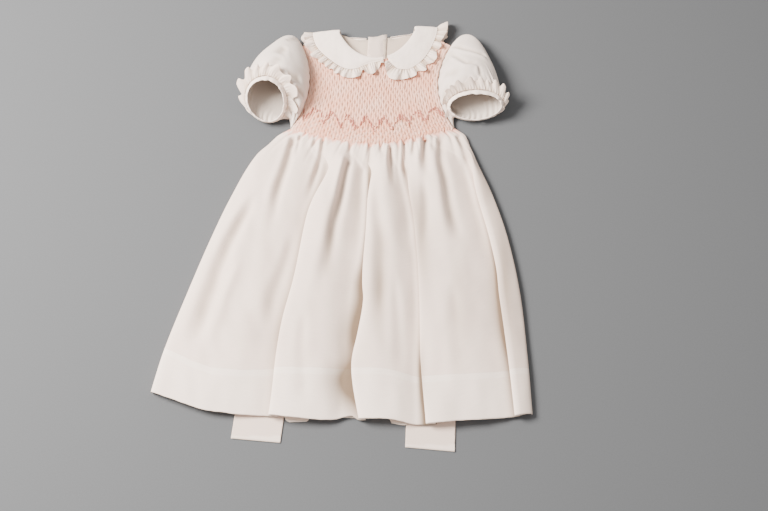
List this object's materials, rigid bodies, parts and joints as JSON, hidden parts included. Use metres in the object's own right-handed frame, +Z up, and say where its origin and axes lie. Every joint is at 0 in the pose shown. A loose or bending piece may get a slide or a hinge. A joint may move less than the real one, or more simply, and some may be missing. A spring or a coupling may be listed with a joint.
{
  "type": "toddler dress",
  "caption": "Toddler's smocked dress laid flat: puffed sleeves with frills, frilled round collar, gathered skirt with a deep hem and sash ends.",
  "frame": {"origin": "on the surface that the dress lies on, under the middle of its outline", "axes": "+Y from the hem to the collar, +X to the right of the dress as it is seen from above, +Z up out of the front"},
  "size_m": [0.5076, 0.6392, 0.0663],
  "materials": {
    "ivory_wool_voile": "fine soft wool and cotton voile, matt, ivory",
    "smocked_voile_pink": "the same voile in fine smocked pleats, blushed with pink thread",
    "ivory_trim": "bias binding and gathered frills of the same voile",
    "shell_button": "small pearly buttons"
  },
  "bodies": {
    "root": {"front_yoke_smocked": "smocked_voile_pink", "skirt_front": "ivory_wool_voile", "skirt_back": "ivory_wool_voile", "back_yoke_left": "ivory_wool_voile", "back_yoke_right": "ivory_wool_voile", "back_placket": "ivory_wool_voile", "button_1": "shell_button", "button_2": "shell_button", "button_3": "shell_button", "sleeve_left": "ivory_wool_voile", "sleeve_right": "ivory_wool_voile", "sleeve_band_left": "ivory_trim", "sleeve_band_right": "ivory_trim", "sleeve_ruffle_left": "ivory_trim", "sleeve_ruffle_right": "ivory_trim", "collar_left": "ivory_wool_voile", "collar_right": "ivory_wool_voile", "collar_ruffle_left": "ivory_trim", "collar_ruffle_right": "ivory_trim", "sash_left": "ivory_wool_voile", "sash_right": "ivory_wool_voile"}
  },
  "joints": []
}
